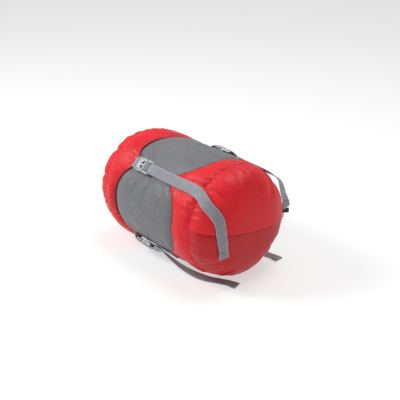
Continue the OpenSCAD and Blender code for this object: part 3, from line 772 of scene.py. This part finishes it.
def webbing(name, path, sides, arc, width, thick, material, conform=None, start_arc=0.0):
    """A woven strip along a path: its middle surface is an even grid, thickened both ways with
    rounded selvedges. conform moves the middle surface's points, such as off the skin."""
    along = unit_rows(np.gradient(path, axis=0))
    side = unit_rows(sides - (sides * along).sum(1)[:, None] * along)
    across = np.linspace(-1, 1, ACROSS) * (width / 2 - thick * 0.3)
    grid = path[:, None, :] + side[:, None, :] * across[None, :, None]
    if conform is not None:
        grid = conform(grid)
    d_along = unit_rows(np.gradient(grid, axis=0))
    d_side = unit_rows(np.gradient(grid, axis=1))
    out = unit_rows(np.cross(d_along, d_side))
    n = len(path)
    half = thick / 2
    taper = np.ones(ACROSS)
    taper[0] = taper[-1] = 0.62
    ring_points, strip = [], []
    for k in range(ACROSS):
        ring_points.append(grid[:, k] + out[:, k] * half * taper[k])
        strip.append(np.stack([arc + start_arc, np.full(n, across[k]), np.ones(n)], 1))
    ring_points.append(grid[:, -1] + d_side[:, -1] * thick * 0.3)
    strip.append(np.stack([arc + start_arc, np.full(n, width / 2), np.zeros(n)], 1))
    for k in range(ACROSS - 1, -1, -1):
        ring_points.append(grid[:, k] - out[:, k] * half * taper[k])
        strip.append(np.stack([arc + start_arc, np.full(n, across[k]), -np.ones(n)], 1))
    ring_points.append(grid[:, 0] - d_side[:, 0] * thick * 0.3)
    strip.append(np.stack([arc + start_arc, np.full(n, -width / 2), np.zeros(n)], 1))
    ring = np.stack(ring_points, 1)
    m = ring.shape[1]
    verts = ring.reshape(-1, 3)
    faces = [(i * m + k, (i + 1) * m + k, (i + 1) * m + (k + 1) % m, i * m + (k + 1) % m)
             for i in range(n - 1) for k in range(m)]
    for i, order in ((0, 1), (n - 1, -1)):
        for k in range(ACROSS - 1):
            low_k = 2 * ACROSS - k
            quad = [i * m + k, i * m + k + 1, i * m + low_k - 1, i * m + low_k]
            faces.append(quad[::order])
        faces.append([i * m + ACROSS - 1, i * m + ACROSS, i * m + ACROSS + 1][::order])
        faces.append([i * m + 2 * ACROSS, i * m + 2 * ACROSS + 1, i * m][::order])
    obj = new_object(name, verts, faces, material)
    set_vector(obj.data, "strip", np.stack(strip, 1).reshape(-1, 3))
    fix_normals(obj)
    return obj, grid, out


def fix_normals(obj):
    mesh = bmesh.new()
    mesh.from_mesh(obj.data)
    bmesh.ops.recalc_face_normals(mesh, faces=mesh.faces)
    mesh.to_mesh(obj.data)
    mesh.free()


def stand_off(tree, clear):
    """Moves a strip's middle points so that none lies nearer the skin than clear."""

    def conform(grid):
        n, m, _ = grid.shape
        push = np.zeros((n, m))
        heading = np.zeros((n, m, 3))
        for i in range(n):
            for k in range(m):
                p = Vector(grid[i, k])
                spot, normal, _, _ = tree.find_nearest(p, 40 * MM)
                if spot is None:
                    continue
                signed = (p - spot).dot(normal)
                heading[i, k] = normal
                if abs(signed) < 30 * MM and signed < clear:
                    push[i, k] = clear - signed
        flat = push.copy()
        for _ in range(3):
            for axis in (0, 1):
                margins = [(1, 1), (0, 0)] if axis == 0 else [(0, 0), (1, 1)]
                wide = np.pad(flat, margins, mode="edge")
                a, b = (wide[:-2], wide[2:]) if axis == 0 else (wide[:, :-2], wide[:, 2:])
                flat = np.maximum(push, 0.25 * a + 0.5 * flat + 0.25 * b)
        return grid + heading * flat[:, :, None]

    return conform


def smooth_rows(grid, times):
    """Evens a strip's middle points out along its length, ends held."""
    for _ in range(times):
        grid[1:-1] = 0.25 * grid[:-2] + 0.5 * grid[1:-1] + 0.25 * grid[2:]
    return grid


def round_bar(x, h, r, a, b, n=8):
    t = np.radians(np.linspace(a, b, n + 1))
    return [(x + r * math.cos(i), h + r * math.sin(i)) for i in t]


def on_strap(points, angle):
    """Turns [x, height above the axis] points into points in space at a strap's angle."""
    return [point(x, angle, h) for x, h in points]


# The ladder lock's layout, along from the buckle's lid end and up from its base
BAR_R = 1.7 * MM
WRAP_X, WRAP_H = 31.5 * MM, 4.0 * MM
THIN_X, THIN_H, THIN_R = 37.0 * MM, 4.2 * MM, 0.9 * MM
END_X, END_H, END_R = 42.0 * MM, 3.6 * MM, 1.3 * MM
PLUG_END = END_X + END_R
LOOSE = 0.25 * MM + WEB_T / 2
UNDER = -0.4 * MM - WEB_T / 2


def buckle_start(s):
    return HEM_TIP[s] + TAB_REACH


def sack_point(x, angle, lift):
    """A point off the CAD sack's surface, over its tube or its soft end."""
    past = max(0.0, (x - BASE_X) / BASE_DEPTH)
    r = SHOULDER_R * max(0.0, 1 - past ** ROUND_X) ** (1 / ROUND_R) + lift
    return point(x, angle, r)


def end_point(y, z, lift):
    r = BODY_R * math.hypot(y, z) / SHOULDER_R
    x = BASE_DEPTH * max(0.0, 1 - r ** ROUND_R) ** (1 / ROUND_X)
    return Vector((BASE_X + x + lift, y * BODY_R, AXIS_Z + z * BODY_R))


def floor_point(x, y, height):
    return Vector((BASE_X + x, y * BODY_R, WEB_T / 2 + height))


def tail_route(s):
    """Control points and side directions of a strap's free tail, from its ladder lock."""
    lie = 4.25 * MM
    over = lie + WEB_T + 0.4 * MM
    a = STRAP_ANGLE[s]
    high_lift = BUCKLE_BASE + END_H + END_R + LOOSE - SHOULDER_R
    start = LADDER_X[s]
    points = [sack_point(start + k * MM, a, over + (high_lift - over) * w)
              for k, w in ((0, 1), (3, 0.97), (14, 0.45), (26, 0.12))]
    tip = BAND_TIP[s]

    def sides(*angles):
        return [side_of(v) for v in angles]

    if s == "front_top":
        points += [sack_point(tip, 45, over), sack_point(tip + 18 * MM, 45, lie),
                   sack_point(BASE_X - 16 * MM, 45, lie), sack_point(BASE_X + 5 * MM, 43, 5 * MM),
                   sack_point(BASE_X + 27 * MM, 37, 7 * MM), end_point(-0.69, 0.37, 8.5 * MM),
                   end_point(-0.67, 0.14, 7.5 * MM), end_point(-0.64, -0.09, 7 * MM),
                   end_point(-0.61, -0.315, 7 * MM)]
        return points, sides(*[45] * 8, 38, 30, 22, 14, 10)
    if s == "back_top":
        points += [sack_point(tip + 2 * MM, 135, over),
                   sack_point(BASE_X - 22 * MM, 135, lie + MM),
                   sack_point(BASE_X - 2 * MM, 136, 5 * MM),
                   sack_point(BASE_X + 14 * MM, 140, 7 * MM),
                   sack_point(BASE_X + 26 * MM, 148, 12 * MM), end_point(0.88, 0.33, 13 * MM),
                   end_point(0.92, 0.2, 15 * MM), end_point(0.94, 0.08, 16 * MM)]
        turned = [(-0.05, 0.75, -0.65), (-0.1, 0.8, -0.6), (-0.1, 0.83, -0.55),
                  (-0.1, 0.84, -0.53), (-0.1, 0.84, -0.53)]
        return points, sides(*[135] * 7) + [Vector(v) for v in turned]
    if s == "front_bottom":
        points += [floor_point(x * MM, y, h * MM) for x, y, h in (
            (-88, -0.73, 20.5), (-60, -0.70, 12.5), (-34, -0.63, 5), (-8, -0.53, 0.4),
            (12, -0.44, 0.8), (31, -0.36, 1.6), (50, -0.30, 1.6))]
        return points, sides(*[-45] * 4, -55, -68, -82, -90, -90, -90, -90)
    points += [floor_point(x * MM, y, h * MM) for x, y, h in (
        (-38, 0.79, 14), (-18, 0.83, 5), (0, 0.86, 0.5), (16, 0.88, 1.6), (31, 0.89, 1.6))]
    return points, sides(*[-135] * 4, -118, -100, -90, -90, -90)


def make_strap(s, tree):
    """One length of webbing: sewn in at the base's seam, led under the plug, round the ladder
    lock's bars and away as the tail."""
    a = STRAP_ANGLE[s]
    base = buckle_start(s)
    fixed_h = ANCHOR_H + WEB_T / 2
    under_h = BUCKLE_BASE + UNDER
    inner = [(BAND_TIP[s] + 6 * MM, fixed_h - 0.8 * MM), (BAND_TIP[s], fixed_h),
             (LADDER_X[s] + 14 * MM, fixed_h), (LADDER_X[s] + 4 * MM, under_h - 0.1 * MM)]
    loop = [(base + PLUG_END + MM, under_h), (base + WRAP_X + 2 * MM, under_h)]
    loop += round_bar(base + WRAP_X, BUCKLE_BASE + WRAP_H, BAR_R + LOOSE, 235, 25, 9)
    loop += round_bar(base + THIN_X, BUCKLE_BASE + THIN_H, THIN_R + LOOSE, 215, 320, 5)
    loop += round_bar(base + END_X, BUCKLE_BASE + END_H, END_R + LOOSE, 150, 90, 3)
    flat = [Vector(p) for p in on_strap(inner + loop, a)]
    held = [side_of(a)] * len(flat)
    tail, tail_sides = tail_route(s)
    path = np.concatenate([spline(flat, 4), spline(tail, 8)[1:]])
    sides = np.concatenate([spline(held, 4), spline(tail_sides, 8)[1:]])
    path, sides, arc = even(path, sides, 1.6 * MM)
    loose = stand_off(tree, WEB_T / 2 + 0.5 * MM)
    free_from = int(np.argmax((path[:, 0] > LADDER_X[s] + 24 * MM) & (arc > arc[-1] * 0.3)))

    def conform(grid):
        moved = grid
        for _ in range(3):
            moved = smooth_rows(loose(moved), 5)
        moved = loose(moved)
        share = smooth_step((np.arange(len(grid)) - free_from) / 6)[:, None, None]
        moved = grid + (moved - grid) * share
        moved[:, :, 2] = np.maximum(moved[:, :, 2], WEB_T / 2 + 0.1 * MM)
        return moved

    obj, grid, out = webbing("strap_" + s, path, sides, arc, WEB_W, WEB_T, "webbing", conform)
    fold_n = int(13 * MM / (arc[1] - arc[0]))
    end = fold_end(s, grid, out, arc, fold_n)
    for piece in [obj] + end:
        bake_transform(piece)
    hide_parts("anchor_" + s, "turn_" + s, "tail_" + s)


def fold_end(s, grid, out, arc, count):
    """The tail's end turned back on itself and sewn down with two rows of stitches."""
    path = grid[-count:, ACROSS // 2] + out[-count:, ACROSS // 2] * (WEB_T * 0.98)
    side = grid[-count:, -1] - grid[-count:, 0]
    half_rib = 0.0007
    fold, _, _ = webbing("fold_" + s, path, side, arc[-count:], WEB_W * 0.985, WEB_T * 0.9,
                         "webbing", start_arc=half_rib)
    stitches = []
    for row in (0.18, 0.62):
        i = len(grid) - 1 - int(count * row)
        for k in np.linspace(-0.8, 0.8, 9):
            places = np.linspace(-1, 1, ACROSS)
            centre = np.array([np.interp(k, places, grid[i, :, c]) for c in range(3)])
            lift = out[i, ACROSS // 2] * WEB_T * 1.46
            stitches.append((centre + lift, grid[i, -1] - grid[i, 0]))
    return [fold, stitch_object("end_stitch_" + s, stitches, 1.3 * MM, 0.28 * MM, "grey_thread")]


def capsules(items, length, radius):
    """Small lozenges of thread, each from a centre and a direction."""
    verts, faces = [], []
    profile = [(-0.5, 0.25), (-0.32, 0.9), (0.0, 1.0), (0.32, 0.9), (0.5, 0.25)]
    for centre, direction in items:
        d = Vector(direction).normalized()
        u = d.orthogonal().normalized()
        v = d.cross(u)
        base = len(verts)
        for t, r in profile:
            for k in range(6):
                a = math.pi * k / 3
                round_it = u * math.cos(a) + v * math.sin(a)
                verts.append(Vector(centre) + d * length * t + round_it * radius * r)
        for i in range(4):
            row = base + 6 * i
            for k in range(6):
                turn = (k + 1) % 6
                faces.append((row + k, row + turn, row + 6 + turn, row + 6 + k))
        faces.append([base + k for k in range(5, -1, -1)])
        faces.append([base + 24 + k for k in range(6)])
    return verts, faces


def stitch_object(name, items, length, radius, material):
    verts, faces = capsules(items, length, radius)
    return new_object(name, verts, faces, material)


STITCH_PITCH = 3.4 * MM
STITCH_RISE = 0.1 * MM
THREAD_R = 0.3 * MM


def seam_stitches(name, tree, curve, material="red_thread", body="sack"):
    """Stitches along a seam, given as points near the surface, set on the surface itself."""
    pts = np.array([tuple(p) for p in curve])
    pts = np.concatenate([pts, pts[:1]]) if np.linalg.norm(pts[0] - pts[-1]) < 12 * MM else pts
    arc = np.concatenate([[0], np.cumsum(np.linalg.norm(np.diff(pts, axis=0), axis=1))])
    spots = []
    for at in np.arange(0, arc[-1], STITCH_PITCH):
        p = Vector([np.interp(at, arc, pts[:, i]) for i in range(3)])
        q = Vector([np.interp(at + STITCH_PITCH * 0.3, arc, pts[:, i]) for i in range(3)])
        spot, normal, _, _ = tree.find_nearest(p, 25 * MM)
        if spot is None:
            continue
        along = (q - p) - normal * (q - p).dot(normal)
        if along.length > 1e-9 and spot.z > 1.5 * MM:
            spots.append((spot + normal * STITCH_RISE, along))
    obj = stitch_object(name, spots, STITCH_PITCH * 0.72, THREAD_R, material)
    finish_piece(obj, body, [])


def make_tab(s):
    """Short doubled tab: caught in the lid's hem, led round the socket's bar and back."""
    a = STRAP_ANGLE[s]
    base = buckle_start(s)
    bar_x, bar_h = base + BAR_R, BUCKLE_BASE + 4 * MM
    low_h = LID_R + 0.4 * MM + WEB_T / 2
    high_h = low_h + WEB_T + 0.4 * MM
    turn_r = BAR_R + 0.3 * MM + WEB_T / 2
    inside = BODY_R - 1.2 * MM
    ends = HEM_TIP[s] - TAB_SEWN, HEM_TIP[s] - 2 * MM, HEM_TIP[s] + 4 * MM
    flat = [(ends[0], inside), (ends[1], inside), (ends[2], low_h - 0.9 * MM),
            (bar_x - 5 * MM, low_h + 0.4 * MM)]
    flat += round_bar(bar_x, bar_h, turn_r, -115, 110, 10)
    flat += [(bar_x - 6 * MM, bar_h + turn_r - 1.6 * MM), (ends[2], high_h - 0.3 * MM),
             (ends[1], inside + 0.8 * MM), (ends[0], inside + 0.8 * MM)]
    points = on_strap(flat, a)
    path, sides, arc = even(spline(points, 4), spline([side_of(a)] * len(points), 4), 1.2 * MM)
    obj, _, _ = webbing("tab_web_" + s, path, sides, arc, WEB_W, WEB_T, "webbing")
    finish_piece(obj, "lid", ["tab_" + s])


def bartack_items(s, x, height):
    """A dense zigzag of thread across a strap."""
    a = STRAP_ANGLE[s]
    items = []
    n = 22
    for i in range(n):
        across = (i / (n - 1) - 0.5) * (WEB_W - 3 * MM)
        centre = point(x + MM, a, height) + side_of(a) * across
        lean = Vector((1, 0, 0)) + side_of(a) * (0.42 if i % 2 else -0.42)
        items.append((centre, lean))
    return items


def make_bartacks():
    sewn, lid = [], []
    for s in STRAPS:
        sewn += bartack_items(s, BAND_TIP[s] + MM, ANCHOR_H + WEB_T + 0.1 * MM)
        for x in (-TAB_SEWN + 1.5 * MM, -3.5 * MM):
            lid += bartack_items(s, HEM_TIP[s] + x, BODY_R + 0.9 * MM)
    for name, items, material, body, node in (
            ("bartacks_sack", sewn, "grey_thread", "sack", "anchor_bartacks"),
            ("bartacks_lid", lid, "red_thread", "lid", "tab_bartacks")):
        stitches = stitch_object(name, items, 2.4 * MM, THREAD_R, material)
        finish_piece(stitches, body, [node])


# --- Hard pieces, tab and label ---


def smooth_copy(node, name, material):
    """A smooth-shaded copy of a CAD piece."""
    source = NODES[node]
    mesh = source.data.copy()
    mesh.materials.clear()
    mesh.materials.append(MATERIALS[material])
    mesh.polygons.foreach_set("use_smooth", [True] * len(mesh.polygons))
    obj = bpy.data.objects.new(name, mesh)
    SCENE.collection.objects.link(obj)
    obj.matrix_world = source.matrix_world.copy()
    return obj


def moulded(node, body, material, radius=0.35 * MM):
    """The CAD piece with its edges rounded off, as a moulding has them."""
    obj = smooth_copy(node, "moulded_" + node, material)
    work = bmesh.new()
    work.from_mesh(obj.data)
    bmesh.ops.remove_doubles(work, verts=work.verts, dist=1e-6)
    bmesh.ops.dissolve_limit(work, angle_limit=math.radians(1), verts=work.verts, edges=work.edges)
    work.to_mesh(obj.data)
    work.free()
    bevel = obj.modifiers.new("round", "BEVEL")
    bevel.width = radius
    bevel.segments = 2
    bevel.limit_method = "ANGLE"
    bevel.angle_limit = math.radians(35)
    bevel.use_clamp_overlap = True
    bevel.harden_normals = False
    apply_modifiers(obj)
    obj.data.polygons.foreach_set("use_smooth", [True] * len(obj.data.polygons))
    obj.data.set_sharp_from_angle(angle=math.radians(38))
    finish_piece(obj, body, [node])


def flat_piece(name, node, material, thick, wave):
    """A cut piece of tape standing out of the shoulder seam, slightly bent, with its cut edges."""
    a, b = low(node), high(node)
    root = Vector((a.x, a.y, 0))
    angle = math.atan2(b.y - a.y, b.x - a.x)
    reach = math.hypot(b.x - a.x, b.y - a.y)
    along = Vector((math.cos(angle), math.sin(angle), 0))
    out = Vector((-along.y, along.x, 0))
    n, m = 24, 16
    verts, strip = [], []
    for side in (1, -1):
        for i in range(n + 1):
            for k in range(m + 1):
                u, v = i / n, k / m
                bend = wave * math.sin(u * 2.2 + v * 0.9) * u
                p = root + along * reach * u + out * (bend + side * thick / 2)
                verts.append((p.x, p.y, a.z + (b.z - a.z) * v))
                strip.append((reach * u, (v - 0.5) * (b.z - a.z), side))
    faces = []
    size = (n + 1) * (m + 1)
    for i in range(n):
        for k in range(m):
            at, beyond = i * (m + 1) + k, (i + 1) * (m + 1) + k
            q = [at, beyond, beyond + 1, at + 1]
            faces += [q, [v + size for v in q[::-1]]]
    rim = [(i, 0) for i in range(n)] + [(n, k) for k in range(m)]
    rim += [(i, m) for i in range(n, 0, -1)] + [(0, k) for k in range(m, 0, -1)]
    ids = [i * (m + 1) + k for i, k in rim]
    for p, q in zip(ids, ids[1:] + ids[:1]):
        faces.append([q, p, p + size, q + size])
    obj = new_object(name, verts, faces, material)
    set_vector(obj.data, "strip", strip)
    set_vector(obj.data, "cloth", strip)
    fix_normals(obj)
    finish_piece(obj, "sack", [node])


def make_cord():
    """Braided drawcord: the CAD cord's own shape."""
    finish_piece(smooth_copy("drawcord", "braided_drawcord", "cord"), "sack", ["drawcord"])


def make_spring():
    """The cord lock's spring, pressed together between the button and the barrel's floor."""
    spring = smooth_copy("cord_lock_spring", "coiled_spring", "steel")
    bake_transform(spring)
    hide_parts("cord_lock_spring")


# --- Put together ---


def under_lid(skin_data):
    """How far inside the skin the tube lies, so that the lid's narrow hem slides off over it."""
    tuck = 16 * MM
    inset = 2.0 * MM * smooth_step((skin_data.hem + tuck - skin_data.co[:, 0]) / tuck)
    covered = (HEM_ROW + 1) * COLUMNS
    across = skin_data.co[:covered, 1:] - np.array([0, AXIS_Z])
    radius = np.linalg.norm(across, axis=1).reshape(-1, COLUMNS)
    narrow = np.minimum.accumulate(radius[::-1], axis=0)[::-1]
    for _ in range(3):
        narrow = np.minimum(narrow, np.minimum(np.roll(narrow, 1, 1), np.roll(narrow, -1, 1)))
    inset[:covered] += (radius - narrow).ravel()
    return inset


def stuffing(skin_data, tucked):
    """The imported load: the skin's own shape, a little smaller."""
    moved = skin_data.co - skin_data.normal * np.maximum(6.0 * MM, tucked + 3.0 * MM)[:, None]
    moved[:, 2] = np.maximum(moved[:, 2], 4.5 * MM)
    obj = new_object("packed_stuffing", moved, skin_data.faces, "stuffing")
    set_vector(obj.data, "cloth", skin_data.cloth)
    finish_piece(obj, "sack", ["packed_load"])


def binding_tape(skin_data):
    """Tape sewn over the shoulder seam's raw edges, inside the skin."""
    n = 192
    verts, strip = [], []
    r = skin_data.row_radius(TUBE_ROWS) - 3 * MM
    for i in range(n):
        a = 360.0 * i / n
        for x, lift in ((-3, 0.4), (0, 0.9), (3, -0.1), (3, -1.1), (0, -0.1), (-3, -0.6)):
            p = point(BASE_X + x * MM, a, r + lift * MM)
            verts.append((p.x, p.y, max(p.z, 2.2 * MM)))
            strip.append((r * math.radians(a), x * MM, 0))
    faces = ring_faces(n, 6, lambda i, k: 6 * (i % n) + k)
    obj = new_object("seam_binding", verts, faces, "black_web")
    set_vector(obj.data, "strip", strip)
    fix_normals(obj)
    finish_piece(obj, "sack", ["shoulder_binding"])


# How far the lid and the upper end panel lie outside the skin
LID_OUT = 1.0 * MM
UPPER_OUT = 0.7 * MM
HEM_ROWS = (3.2 * MM, 6.4 * MM)


def make_seams(skin_data, tree):
    """Rows of stitches along every seam that shows."""

    def ring(x_of):
        return [point(x_of(a), a, BODY_R) for a in np.arange(-180, 180, 1.0)]

    lid_tree = skin_data.tree(LID_OUT)
    for n, back in enumerate(HEM_ROWS):
        seam_stitches("hem_stitch_%d" % n, lid_tree, ring(lambda a: hem_x(a) - back), body="lid")
    seam_stitches("band_stitch", tree, ring(lambda a: band_x(a) + 2.0 * MM))
    seam_stitches("tube_stitch", tree, ring(lambda a: band_x(a) - 2.0 * MM), "grey_thread")
    seam_stitches("shoulder_stitch", tree, ring(lambda a: BASE_X - 2.4 * MM))
    seam_stitches("crown_stitch", lid_tree, ring(lambda a: LID_X + 2.4 * MM), body="lid")

    # The seam across the base's end, a little above the middle
    roll = math.radians(CROSS_SEAM_ROLL)
    across = Vector((0, -math.cos(roll), math.sin(roll)))
    up = Vector((0, math.sin(roll), math.cos(roll)))
    middle = Vector((BASE_X + BASE_DEPTH, 0, AXIS_Z)) + up * 2.2 * MM
    seam = [middle + across * t * MM for t in range(-98, 99, 2)]
    for p in seam:
        off = math.hypot(p.y, p.z - AXIS_Z)
        p.x = BASE_X + BASE_DEPTH * max(0.0, 1 - (off / BODY_R) ** ROUND_R) ** (1 / ROUND_X)
    seam_stitches("cross_stitch", skin_data.tree(UPPER_OUT), seam)


def assemble():
    make_camera()
    make_studio()
    rough = make_skin()
    data = Skin(rough)
    bpy.data.objects.remove(rough, do_unlink=True)

    tucked = under_lid(data)
    panel(data, "tube", (LID_SIDE, TUBE), -tucked, "grey", 0.5 * MM,
          "sack", "body_tube")
    gathered_end(data)
    make_collar()
    panel(data, "side_band", (BAND,), 0.0, "red", 0.5 * MM,
          "sack", "base_side_band")
    panel(data, "end_upper", (UPPER_END,), UPPER_OUT, "red", 0.7 * MM,
          "sack", "base_end_upper")
    # The lower half of the base's end gets the darker red copy: painted shade on the same fabric as
    # the upper half
    panel(data, "end_lower", (LOWER_END,), 0.0, "shaded_red", 0.5 * MM,
          "sack", "base_end_lower")
    panel(data, "skirt", (LID_SIDE,), LID_OUT, "red", 1.1 * MM,
          "lid", "lid_skirt")
    panel(data, "crown", (LID_END,), LID_OUT, "red", 0.9 * MM,
          "lid", "lid_crown")
    stuffing(data, tucked)
    binding_tape(data)

    tree = data.tree()
    for s in STRAPS:
        make_strap(s, tree)
        make_tab(s)
    make_bartacks()

    make_seams(data, tree)

    for s in STRAPS:
        moulded("socket_" + s, "lid", "buckle")
        moulded("plug_" + s, "lid", "buckle", 0.25 * MM)
        for side in ("left", "right"):
            arm = "arm_%s_%s" % (s, side)
            moulded(arm, arm, "buckle", 0.25 * MM)
    moulded("cord_lock_barrel", "sack", "black")
    moulded("cord_lock_button", "lock_button", "black")
    make_cord()
    make_spring()
    flat_piece("tab_tape", "pull_tab", "black_web", 2.0 * MM, -1.2 * MM)
    flat_piece("label_tape", "care_label", "label", 0.5 * MM, 2.6 * MM)


assemble()
